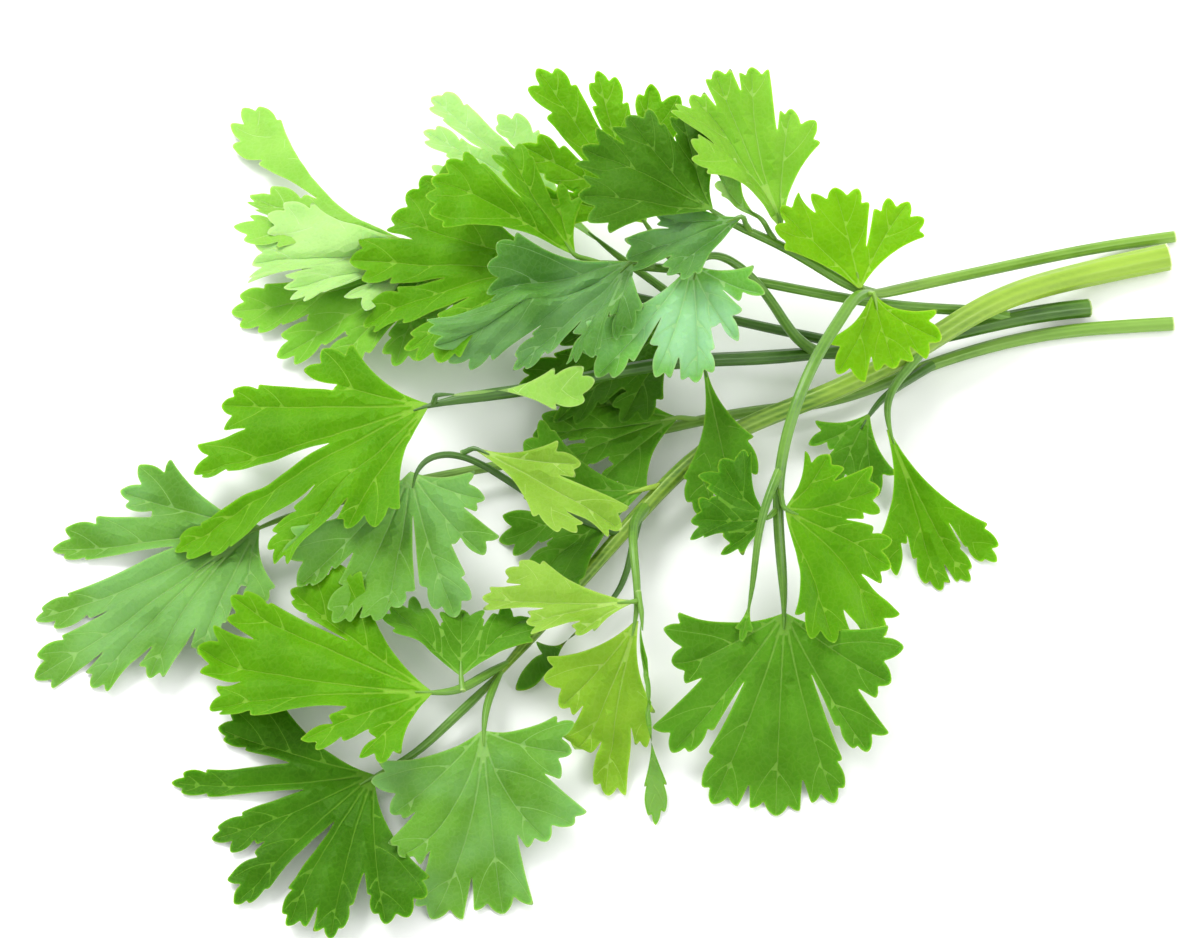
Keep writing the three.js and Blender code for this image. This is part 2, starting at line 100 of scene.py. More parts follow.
# Each blade: the stem that it stands on, its finish, and the cuts between its lobes, right to left.
# A cut is how far out its bottom lies, as a share of the shorter lobe beside it, and how wide it
# opens, as a share of the room between the two lobes.
LEAVES = {
    "leaf_d_far": ("stalk_d", "satin",
                   [(0.72, 0.2), (0.42, 0.8), (0.72, 0.1), (0.85, 0), (0.85, 0), (0.82, 0.05), (0.7, 0.25)]),
    "leaf_d_dark": ("stalk_d", "mid", [(0.7, 0), (0.75, 0), (0.7, 0)]),
    "leaf_d_back": ("stem_d_back", "mid", [(0.7, 0), (0.7, 0)]),
    "leaf_c_far_front": ("stem_c_far", "grass", [(0.6, 0.1), (0.75, 0), (0.75, 0), (0.6, 0.1)]),
    "leaf_c_far_up": ("stem_c_far", "lime", [(0.66, 0.15), (0.6, 0.2)]),
    "leaf_c_far_low": ("stem_c_far", "pale", [(0.82, 0), (0.8, 0), (0.7, 0.1)]),
    "leaf_c_far_small": ("stem_c_far", "lime", [(0.8, 0), (0.8, 0)]),
    "leaf_c_pale": ("stem_c_pale", "pale", [(0.7, 0.2), (0.72, 0.1), (0.7, 0.1)]),
    "leaf_c_high": ("stem_c_high", "bright", [(0.65, 0.2), (0.58, 0.25), (0.48, 0.2), (0.6, 0.2)]),
    "leaf_c_left": ("stem_c_back", "green", [(0.8, 0.05), (0.55, 0.2), (0.55, 0.3)]),
    "leaf_c_left_up": ("stem_c_back", "green", [(0.7, 0), (0.55, 0.15)]),
    "leaf_c_big": ("stem_c_main", "green", [(0.74, 0.2), (0.84, 0), (0.42, 0.8), (0.62, 0.3), (0.8, 0.05)]),
    "leaf_c_back": ("stem_c_main", "soft", []),
    "leaf_c_under": ("stem_c_far", "dark", [(0.75, 0), (0.7, 0), (0.75, 0)]),
    "leaf_c_side": ("stem_c_main", "mid", [(0.75, 0), (0.8, 0)]),
    "leaf_c_blue": ("stem_c_blue", "heavy_sheen", [(0.5, 0.3), (0.78, 0.1), (0.72, 0.15), (0.5, 0.25)]),
    "leaf_c_blue_left": ("stem_c_back", "blue", [(0.78, 0.05), (0.68, 0.25), (0.62, 0.3), (0.66, 0.2)]),
    "leaf_b_front_left": ("stem_b_front_left", "deep",
                          [(0.5, 0.7), (0.4, 0.7), (0.74, 0.1), (0.36, 0.7), (0.84, 0), (0.66, 0.45)]),
    "leaf_b_front": ("stem_b_front", "satin", [(0.85, 0), (0.85, 0), (0.8, 0), (0.85, 0), (0.85, 0)]),
    "leaf_b_strip": ("stem_b_strip", "dark", []),
    "leaf_b_left": ("stem_b_left", "green", [(0.55, 0.5), (0.82, 0), (0.84, 0), (0.6, 0.5), (0.7, 0.2)]),
    "leaf_b_left_up": ("stem_b_left", "mid", [(0.7, 0), (0.7, 0)]),
    "leaf_b_low": ("stalk_b", "mid", [(0.7, 0), (0.7, 0)]),
    "leaf_b_thin": ("stem_b_thin", "satin", [(0.6, 0.4), (0.86, 0), (0.3, 0.25), (0.74, 0.1), (0.8, 0)]),
    "leaf_b_curled": ("stem_b_thin", "gold", [(0.8, 0), (0.8, 0)]),
    "leaf_b_right": ("stem_b_right", "green", [(0.72, 0.2), (0.84, 0), (0.62, 0.45)]),
    "leaf_b_yellow": ("stem_b_yellow", "yellow", [(0.84, 0), (0.84, 0), (0.82, 0)]),
    "leaf_b_yellow_left": ("stem_b_yellow", "gold", [(0.82, 0), (0.82, 0), (0.8, 0)]),
    "leaf_b_yellow_strip": ("stem_b_yellow", "mid", []),
    "leaf_a_dark_low": ("stem_a_upper", "blue", [(0.82, 0), (0.82, 0)]),
    "leaf_a_dark": ("stem_a_upper", "dark", [(0.7, 0.1), (0.82, 0), (0.84, 0)]),
    "leaf_a_fold": ("stem_a_upper", "soft", []),
    "leaf_a_upright": ("stem_a_upper", "light", [(0.8, 0.05), (0.84, 0), (0.84, 0), (0.84, 0)]),
    "leaf_a_node": ("stalk_a", "fresh", [(0.4, 0.25), (0.8, 0.05)]),
    "leaf_a_node_front": ("stalk_a", "fresh", [(0.8, 0), (0.8, 0)]),
    "leaf_a_end": ("stem_a_arch", "mid",
                   [(0.82, 0.05), (0.44, 0.3), (0.84, 0.03), (0.84, 0.03), (0.42, 0.3), (0.82, 0.05)]),
    "leaf_a_right": ("stem_a_arch", "green", [(0.82, 0.05), (0.78, 0.05), (0.6, 0.12), (0.78, 0.05)]),
    "leaf_a_arch_left": ("stem_a_arch", "deep", [(0.75, 0.05), (0.75, 0.05)]),
    "leaf_a_edge": ("stem_a_edge", "mid", []),
}

# How much a blade is narrowed outside its first and its last lobe, where it isn't NARROWING.
NARROWED = {
    "leaf_c_far_up": (0.7, 0.5),
    "leaf_c_far_low": (0.75, 0.3),
    "leaf_a_upright": (0.2, 0.2),
    "leaf_a_end": (0.2, 0.2),
    "leaf_b_front": (0.2, 0.1),
    "leaf_b_strip": (0.5, 0.5),
    "leaf_b_yellow_strip": (0.6, 0.6),
    "leaf_a_fold": (0.0, 0.0),
    "leaf_c_back": (0.3, 0.3),
    "leaf_c_under": (0.1, 0.1),
    "leaf_d_dark": (0.0, 0.1),
    "leaf_b_low": (0.0, 0.0),
    "leaf_c_side": (0.5, 0.5),
    "leaf_b_yellow": (0.3, 0.8),
    "leaf_a_edge": (0.2, 0.2),
}

# ---- Reading the fixed frame -------------------------------------------------------------------


def unit(vector):
    return vector / max(np.linalg.norm(vector), 1e-9)


def merged(node):
    """A CAD node's corners in mm, each corner's neighbours, and its faces as (corners, normal)."""
    shape = bmesh.new()
    shape.from_mesh(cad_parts[node].data)
    bmesh.ops.remove_doubles(shape, verts=shape.verts, dist=1e-6)
    shape.verts.index_update()
    shape.normal_update()
    points = np.array([v.co for v in shape.verts]) / MM
    near = [{e.other_vert(v).index for e in v.link_edges} for v in shape.verts]
    faces = [([v.index for v in f.verts], np.array(f.normal)) for f in shape.faces]
    shape.free()
    return points, near, faces


def in_line(members, near):
    """The members in order along the open chain that they make."""
    members = set(members)
    step = next(m for m in sorted(members) if len(near[m] & members) == 1)
    line = [step]
    while len(line) < len(members):
        step = next(m for m in sorted(near[step] & members) if m not in line)
        line.append(step)
    return line


def is_chain(members, near):
    """Whether the members make one open chain."""
    joints = sorted(len(near[m] & members) for m in members)
    return joints[:2] == [1, 1] and set(joints[2:]) == {2}


def read_blade(node, stem_line):
    """A blade's hub, and the middle and the outer end of each of its rays, right to left."""
    points, near, _ = merged(node)
    apart = np.linalg.norm(points[:, None] - points[None], axis=2)
    np.fill_diagonal(apart, np.inf)
    facing = apart.argmin(axis=1)  # the same corner on the blade's other side
    pair = np.minimum(np.arange(len(points)), facing)
    joined = {p: {pair[n] for q in (p, facing[p]) for n in near[q]} - {p} for p in set(pair)}
    place = {p: (points[p] + points[facing[p]]) / 2 for p in joined}
    hubs = [p for p in sorted(joined)
            if is_chain(joined[p], joined) and is_chain(set(joined) - joined[p] - {p}, joined)]
    hub = min(hubs, key=lambda p: np.linalg.norm(stem_line[:, :3] - place[p], axis=1).min())
    middle = np.array([place[p] for p in in_line(joined[hub], joined)])
    outer = np.array([place[p] for p in in_line(set(joined) - joined[hub] - {hub}, joined)])
    spokes = middle - place[hub]
    if np.cross(spokes[:-1], spokes[1:])[:, 2].sum() < 0:
        middle = middle[::-1]
    if np.linalg.norm(outer[0] - middle[0]) > np.linalg.norm(outer[-1] - middle[0]):
        outer = outer[::-1]
    return place[hub], middle, outer


def eased(line, passes=2):
    """The line with its inner points drawn towards their neighbours."""
    line = np.array(line, float)
    for _ in range(passes):
        line[1:-1] = (line[:-2] + 2 * line[1:-1] + line[2:]) / 4
    return line


def read_stem(node):
    """A stem's centre line and its radius along it, from the thicker end."""
    points, near, faces = merged(node)
    ends = []
    for corners, normal in faces:
        flush = [e for e in ends if e[0] & set(corners) and np.dot(e[1], normal) > 0.99995]
        if flush:
            flush[0][0].update(corners)
        else:
            ends.append((set(corners), normal))
    for ring, _ in ends:
        seen, rings = set(), []
        while ring:
            rings.append(sorted(ring))
            seen |= ring
            ring = {n for r in ring for n in near[r]} - seen
        if len(rings) > 2 and len({len(r) for r in rings}) == 1 and len(rings[0]) > 5:
            break
    centres = np.array([points[r].mean(axis=0) for r in rings])
    radii = np.array([np.linalg.norm(points[r] - c, axis=1).mean() for r, c in zip(rings, centres)])
    if radii[0] < radii[-1]:
        centres, radii = centres[::-1], radii[::-1]
    return centres, radii


# ---- Curves and surfaces ------------------------------------------------------------------------


def smooth_line(points, radii):
    """A smooth curve through the points, with the radii carried along it."""
    values = np.column_stack([points, radii])
    before = 2 * values[0] - values[1]
    after = 2 * values[-1] - values[-2]
    knots = np.vstack([before, values, after])
    fine = []
    for p0, p1, p2, p3 in zip(knots, knots[1:], knots[2:], knots[3:]):
        count = max(2, int(np.linalg.norm((p2 - p1)[:3]) / LINE_STEP))
        t = np.linspace(0, 1, count, endpoint=False)[:, None]
        fine.append(
            0.5 * (2 * p1 + (p2 - p0) * t + (2 * p0 - 5 * p1 + 4 * p2 - p3) * t**2
                   + (3 * p1 - p0 - 3 * p2 + p3) * t**3)
        )
    return np.vstack(fine + [values[-1:]])


def evenly(line, step):
    """The open line at even steps, with both of its ends kept."""
    gone = np.concatenate([[0], np.cumsum(np.linalg.norm(np.diff(line, axis=0), axis=1))])
    at = np.linspace(0, gone[-1], max(2, int(round(gone[-1] / step)) + 1))
    return np.column_stack([np.interp(at, gone, line[:, k]) for k in range(line.shape[1])])


def bowed(start, end, bulge, count=12):
    """A line from start to end, bowed to its right by bulge times its length."""
    along = end - start
    control = (start + end) / 2 + bulge * 2 * np.array([along[1], -along[0]])
    t = np.linspace(0, 1, count)[:, None]
    return (1 - t) ** 2 * start + 2 * t * (1 - t) * control + t**2 * end


def beside(line, offset):
    """Points beside an open line, at an offset to its right."""
    along = np.gradient(line, axis=0)
    along /= np.maximum(np.linalg.norm(along, axis=1), 1e-9)[:, None]
    return line + offset * np.column_stack([along[:, 1], -along[:, 0]])


def spaced(points, gap, spaced_out):
    """The points already spaced out and those that lie further than the gap from all before."""
    cells = {}
    for p in spaced_out:
        cells.setdefault((int(p[0] // gap), int(p[1] // gap)), []).append(p)
    kept = list(spaced_out)
    for p in points:
        column, row = int(p[0] // gap), int(p[1] // gap)
        around = [q for i in (-1, 0, 1) for j in (-1, 0, 1) for q in cells.get((column + i, row + j), ())]
        if all((p[0] - q[0]) ** 2 + (p[1] - q[1]) ** 2 > gap * gap for q in around):
            cells.setdefault((column, row), []).append(p)
            kept.append(p)
    return np.array(kept)


def to_segments(points, starts, ends):
    """For each point: its distance to the nearest segment, that segment, and the place along it."""
    best = np.full(len(points), np.inf)
    which = np.zeros(len(points), int)
    share = np.zeros(len(points))
    for k, (a, b) in enumerate(zip(starts, ends)):
        along = b - a
        t = np.clip((points - a) @ along / max(along @ along, 1e-12), 0, 1)
        distance = np.linalg.norm(points - a - t[:, None] * along, axis=1)
        closer = distance < best
        best[closer], which[closer], share[closer] = distance[closer], k, t[closer]
    return best, which, share


class Surface:
    """The smooth surface over a flattened blade that passes close to the frame's own corners."""

    def __init__(self, flat, solid, stiffness=6.0):
        self.flat = flat
        count = len(flat)
        kernel = self._kernel(flat) + stiffness * np.eye(count)
        plane = np.column_stack([np.ones(count), flat])
        system = np.block([[kernel, plane], [plane.T, np.zeros((3, 3))]])
        self.weights = np.linalg.solve(system, np.vstack([solid, np.zeros((3, 3))]))

    def _kernel(self, points):
        square = ((points[:, None] - self.flat[None]) ** 2).sum(axis=2)
        return 0.5 * square * np.log(np.maximum(square, 1e-12))

    def at(self, points):
        plane = np.column_stack([np.ones(len(points)), points])
        return self._kernel(points) @ self.weights[:-3] + plane @ self.weights[-3:]

    def normals(self, points):
        small = 0.05
        east = self.at(points + [small, 0]) - self.at(points - [small, 0])
        north = self.at(points + [0, small]) - self.at(points - [0, small])
        up = np.cross(east, north)
        return up / np.linalg.norm(up, axis=1)[:, None]


def corner_normals(points, triangles):
    """The normal at each corner of a mesh of triangles."""
    a, b, c = (points[triangles[:, k]] for k in range(3))
    facing = np.cross(b - a, c - a)
    normals = np.zeros_like(points)
    for k in range(3):
        np.add.at(normals, triangles[:, k], facing)
    return normals / np.maximum(np.linalg.norm(normals, axis=1), 1e-9)[:, None]


# ---- A blade's outline and veins, flattened about its hub ----------------------------------------


def polar(angle, reach):
    return np.array([math.cos(angle), math.sin(angle)]) * reach


def flat_rays(hub, middle, outer):
    """Each ray's turn about the hub, right to left, and how far its middle and its end reach."""
    spokes = middle - hub
    near = np.linalg.norm(spokes, axis=1)
    far = near + np.linalg.norm(outer - middle, axis=1)
    bearing = spokes / near[:, None]
    steps = np.arccos(np.clip((bearing[:-1] * bearing[1:]).sum(axis=1), -1, 1))
    turns = np.concatenate([[0], np.cumsum(steps)])
    return turns - turns.mean(), near, far


def lobe_teeth(rng, axis, length, edge, cut, gap):
    """Tips of the teeth down one side of a lobe, from its tip, in the flat blade."""
    spread = min(abs(edge - axis), 0.6)
    ahead = polar(axis, 1)
    across = np.array([-ahead[1], ahead[0]]) * (1 if edge > axis else -1)
    wide = max(min(NARROWEST, 0.1 * length), length * math.tan(spread) * (1 - gap))
    if cut > NOTCH:
        back, count = 0.07 * length, max(1, int(round(wide / TOOTH)))
        turns = [(k / (count + 0.6)) for k in range(1, count + 1)]
    else:
        back = min(0.26 * length, wide + 3.5)
        count = max(1, int(round(math.hypot(wide, back) * 1.1 / TOOTH)))
        turns = [k / count for k in range(1, count + 1)]
    teeth = []
    for turn in turns:
        down = back * (1 - math.cos(turn * math.pi / 2)) * rng.uniform(0.9, 1.1)
        out = wide * math.sin(turn * math.pi / 2) * rng.uniform(0.95, 1.0)
        out = min(out, 0.93 * (length - down) * math.tan(spread))
        teeth.append(ahead * (length - down) + across * out)
    return teeth


def cut_between(rng, axis, first, second):
    """The bottom of the cut between two teeth of one lobe."""
    ahead = polar(axis, 1)
    across = np.array([-ahead[1], ahead[0]])
    lower, upper = sorted((first, second), key=lambda tooth: tooth @ ahead)
    cut = lower + (upper - lower) * 0.4
    inward = unit(ahead * (lower @ ahead) * 0.75 - cut)
    depth = np.linalg.norm(upper - lower) * rng.uniform(0.38, 0.5)
    most = 0.46 * abs(cut @ across) / max(abs(inward @ across), 1e-6)
    return cut + inward * min(depth, most)


def blade_outline(rng, turns, far, cuts, outer):
    """A blade's margin as a line from hub to hub, its main veins, its side veins and its teeth."""
    count = (len(turns) - 1) // 4
    cuts = [(0.42, outer[0])] + list(cuts) + [(0.42, outer[1])]
    hub = np.zeros(2)
    corners, mains, sides, tips = [], [], [], []
    for lobe in range(count):
        axis, length = turns[4 * lobe + 2], far[4 * lobe + 2]
        right, left = turns[4 * lobe], turns[4 * lobe + 4]
        tip = polar(axis, length)
        down_right = lobe_teeth(rng, axis, length, right, *cuts[lobe])
        down_left = lobe_teeth(rng, axis, length, left, *cuts[lobe + 1])
        teeth = down_right[::-1] + [tip] + down_left
        tips += teeth
        corners.append((teeth[0], -0.01 if lobe else -0.1))
        for before, tooth in zip(teeth, teeth[1:]):
            corners += [(cut_between(rng, axis, before, tooth), 0.13), (tooth, 0.13)]
        if lobe < count - 1:
            shorter = min(length, far[4 * lobe + 6])
            corners.append((polar(left, shorter * (cuts[lobe + 1][0] + rng.uniform(-0.015, 0.015))), -0.01))
        narrow = min(cuts[lobe][0], cuts[lobe + 1][0]) < NOTCH
        most = (0.8 if narrow else 2.5) / length
        main = bowed(hub, tip * 0.985, max(-most, min(most, 0.19 * axis)), 24)
        mains.append(evenly(main, VEIN_STEP))
        across = np.array([-math.sin(axis), math.cos(axis)])
        for tooth in down_right + down_left:
            sideways = tooth @ across
            start = max(0.12 * length, tooth @ polar(axis, 1) - abs(sideways) * rng.uniform(1.4, 1.9))
            root = main[np.abs(np.linalg.norm(main, axis=1) - start).argmin()]
            lean = 0.06 if sideways < 0 else -0.06
            sides.append(evenly(bowed(root, root + 0.94 * (tooth - root), lean, 10), VEIN_STEP))
    line = [np.array([[0.15, -0.28]])]
    for point, bulge in corners + [(np.array([0.15, 0.28]), -0.1)]:
        line.append(bowed(line[-1][-1], point, bulge)[1:])
    line = evenly(np.vstack(line), MARGIN_STEP)
    line = eased(line, 1)
    mains, sides = ([clipped(vein, line) for vein in veins] for veins in (mains, sides))
    return line, mains, sides, np.array(tips)


def clipped(vein, margin):
    """The vein up to where it first comes too near the margin, away from the hub."""
    after = np.vstack([margin[1:], margin[:1]])
    x, y = vein[:, :1], vein[:, 1:]
    rise = np.where(after[:, 1] == margin[:, 1], 1e-9, after[:, 1] - margin[:, 1])
    crossed = (margin[:, 1] > y) != (after[:, 1] > y)
    left_of = x < margin[:, 0] + (y - margin[:, 1]) / rise * (after[:, 0] - margin[:, 0])
    inside = (crossed & left_of).sum(axis=1) % 2 == 1
    clear = inside & (to_segments(vein, margin, after)[0] > 0.35)
    clear |= np.linalg.norm(vein, axis=1) < 3
    return vein if clear.all() else vein[: max(3, int(clear.argmin()))]


def vein_widths(lines, ends, longest):
    """Half the width of each vein at the start of each of its segments."""
    widths = []
    for line in lines:
        share = np.linspace(0, 1, len(line))[:-1]
        size = math.sqrt(min(1.3, longest / 40))
        widths.append((ends[0] + (ends[1] - ends[0]) * share**0.6) * size)
    return np.concatenate(widths)


def ripple(rng, points, wavelength):
    """A smooth random height, about -1 to 1, with hills about a wavelength across."""
    height = np.zeros(len(points))
    for _ in range(5):
        angle, phase = rng.uniform(0, math.pi), rng.uniform(0, 2 * math.pi)
        pitch = wavelength * rng.uniform(0.75, 1.4)
        height += np.sin(points @ polar(angle, 2 * math.pi / pitch) + phase)
    return height / 3


def blade_mesh(name, stem_line, cuts, narrowed):
    """The blade as one thin closed sheet with its veins, margin and swellings modelled."""
    rng = random.Random(name)
    hub, middle, outer = read_blade(name, stem_line)
    turns, near, far = flat_rays(hub, middle, outer)
    flat = [np.zeros(2)]
    flat += [polar(t, r) for t, r in zip(turns, near)]
    flat += [polar(t, r) for t, r in zip(turns, far)]
    surface = Surface(np.array(flat), np.vstack([hub, middle, outer]))
    margin, mains, sides, tips = blade_outline(rng, turns, far, cuts, narrowed)

    veins = mains + sides
    starts = np.vstack([line[:-1] for line in veins])
    ends = np.vstack([line[1:] for line in veins])
    main_count = sum(len(line) - 1 for line in mains)
    longest = far.max()
    widths = np.concatenate(
        [vein_widths(mains, MAIN_VEIN, longest), vein_widths(sides, SIDE_VEIN, longest)]
        if sides else [vein_widths(mains, MAIN_VEIN, longest)]
    )

    ring = np.vstack([margin[1:], margin[:1]])
    low, high = margin.min(axis=0), margin.max(axis=0)
    rows = np.arange(low[1], high[1], MESH_STEP * 0.87)
    grid = [
        (x + (MESH_STEP / 2 if k % 2 else 0) + rng.uniform(-0.15, 0.15), y + rng.uniform(-0.15, 0.15))
        for k, y in enumerate(rows) for x in np.arange(low[0], high[0], MESH_STEP)
    ]
    inside = np.vstack([beside(margin, -0.5), *(beside(v, d) for v in veins for d in (-0.5, 0.5))])
    inside = spaced(inside, 0.42, spaced_out=[])
    inside = spaced(np.array(grid), 0.75, spaced_out=list(inside))
    to_margin = to_segments(inside, margin, ring)[0]
    to_vein = to_segments(inside, starts, ends)[0]
    inside = inside[(to_margin > 0.33) & (to_vein > 0.33)]

    points = [Vector(p) for p in margin]
    edges = []
    for line in veins:
        first = len(points)
        points += [Vector(p) for p in line]
        edges += [(first + k, first + k + 1) for k in range(len(line) - 1)]
    points += [Vector(p) for p in inside]
    made = delaunay_2d_cdt(points, edges, [list(range(len(margin)))], 1, 0.01)
    flat_points = np.array([list(p) for p in made[0]])
    triangles = np.array([list(f) for f in made[2] if len(f) == 3])
    used = np.unique(triangles)
    renumber = np.full(len(flat_points), -1)
    renumber[used] = np.arange(len(used))
    flat_points, triangles = flat_points[used], renumber[triangles]

    to_any, which, share = to_segments(flat_points, starts, ends)
    to_main = to_segments(flat_points, starts[:main_count], ends[:main_count])[0]
    to_margin = to_segments(flat_points, margin, ring)[0]
    face_sides = {(p, q) for a, b, c in triangles for p, q in ((a, b), (b, c), (c, a))}
    rim = np.zeros(len(flat_points), bool)
    for p, q in face_sides:
        if (q, p) not in face_sides:
            rim[p] = rim[q] = True
    to_margin[rim] = 0

    reach = np.linalg.norm(flat_points, axis=1) / longest
    height = FOLD * FOLD_REACH * (1 - np.exp(-to_main / FOLD_REACH)) - FOLD * 2
    height -= GROOVE * np.exp(-((to_main / 0.8) ** 2))
    height += QUILT * (1 - np.exp(-((to_any / 1.4) ** 2)))
    height += WAVE * ripple(rng, flat_points, 15) * np.exp(-to_margin / 5) * reach
    height += 0.3 * ripple(rng, flat_points, 6) * reach
    settle = np.clip(np.linalg.norm(flat_points, axis=1) / 6, 0, 1)
    height *= settle
    thick = SHEET / 2 * np.clip(to_margin / 0.8, 0, 1) ** 0.7
    ridge = 0.5 * widths[which] * np.exp(-((to_any / np.maximum(widths[which], 0.05)) ** 2))
    sheet = surface.at(flat_points) + surface.normals(flat_points) * height[:, None]
    sheet[:, 2] = LOWEST + 0.6 * np.logaddexp(0, (sheet[:, 2] - LOWEST) / 0.6)
    up = corner_normals(sheet, triangles)
    top = sheet + up * thick[:, None]
    bottom = sheet - up * (thick + ridge * np.clip(to_margin, 0, 1))[:, None]

    count = len(flat_points)
    below = np.where(rim, np.arange(count), count + np.cumsum(~rim) - 1)
    mesh = bpy.data.meshes.new(name)
    corners = np.vstack([top, bottom[~rim]]) * MM
    faces = [tuple(t) for t in triangles] + [tuple(below[t][::-1]) for t in triangles]
    mesh.from_pydata([tuple(p) for p in corners], [], faces)
    keep = np.concatenate([np.arange(count), np.arange(count)[~rim]])
    vein = np.minimum(to_any / widths[which], 12)
    layers = {
        "vein": vein[keep],
        "rim": np.minimum(to_margin, 6)[keep],
        "tip": np.minimum(np.linalg.norm(flat_points[:, None] - tips[None], axis=2).min(axis=1), 6)[keep],
        "reach": reach[keep],
        "under": np.concatenate([np.zeros(count), np.ones(int((~rim).sum()))]),
    }
    for label, values in layers.items():
        mesh.attributes.new(label, "FLOAT", "POINT").data.foreach_set("value", values.astype(np.float32))
    chart = mesh.uv_layers.new(name="blade")
    loop_corner = np.zeros(len(mesh.loops), np.int32)
    mesh.loops.foreach_get("vertex_index", loop_corner)
    chart.data.foreach_set("uv", (flat_points[keep][loop_corner] * CHART + 0.5).astype(np.float32).ravel())
    mesh.update()
    piece = bpy.data.objects.new(name + "_blade", mesh)
    bpy.context.scene.collection.objects.link(piece)
    return piece, hub, unit(surface.at(np.array([[4.0, 0.0]]))[0] - hub)


# ---- Materials ----------------------------------------------------------------------------------

WHITE = (1.0, 1.0, 1.0, 1.0)


def node(tree, kind, **settings):
    """A new node of a kind, with its settings."""
    made = tree.nodes.new(kind)
    for key, value in settings.items():
        setattr(made, key, value)
    return made


def join(tree, *pairs):
    """Links from each pair's output to its input."""
    for source, target in pairs:
        tree.links.new(source, target)


def attribute(tree, label):
    """A measure that the mesh carries, as an output."""
    return node(tree, "ShaderNodeAttribute", attribute_name=label).outputs["Fac"]


def ramp(tree, value, low, high, start=0.0, end=1.0):
    """A value turned smoothly from start to end as it passes from low to high."""
    made = node(tree, "ShaderNodeMapRange", interpolation_type="SMOOTHSTEP")
    for key, number in (("From Min", low), ("From Max", high), ("To Min", start), ("To Max", end)):
        made.inputs[key].default_value = number
    join(tree, (value, made.inputs["Value"]))
    return made.outputs["Result"]


def arithmetic(tree, operation, first, second):
    """Two numbers or outputs put together by one operation."""
    made = node(tree, "ShaderNodeMath", operation=operation)
    for value, socket in ((first, made.inputs[0]), (second, made.inputs[1])):
        if isinstance(value, (int, float)):
            socket.default_value = value
        else:
            join(tree, (value, socket))
    return made.outputs[0]


def blend_colour(tree, share, first, second):
    """The first colour, with a share of the second over it."""
    made = node(tree, "ShaderNodeMix", data_type="RGBA", blend_type="MIX")
    join(tree, (share, made.inputs[0]), (first, made.inputs[6]), (second, made.inputs[7]))
    return made.outputs[2]


def colour(code):
    """A web colour as the linear colour that the shaders take."""
    parts = [int(code[k : k + 2], 16) / 255 for k in (1, 3, 5)]
    linear = [c / 12.92 if c <= 0.04045 else ((c + 0.055) / 1.055) ** 2.4 for c in parts]
    return tuple(c * DEPTH for c in linear) + (1.0,)


def group(name, inputs, outputs):
    """An empty shader group with its sockets, its input node and its output node."""
    tree = bpy.data.node_groups.new(name, "ShaderNodeTree")
    for label, kind, value in inputs:
        socket = tree.interface.new_socket(label, in_out="INPUT", socket_type="NodeSocket" + kind)
        socket.default_value = value
    for label, kind in outputs:
        tree.interface.new_socket(label, in_out="OUTPUT", socket_type="NodeSocket" + kind)
    return tree, node(tree, "NodeGroupInput"), node(tree, "NodeGroupOutput")


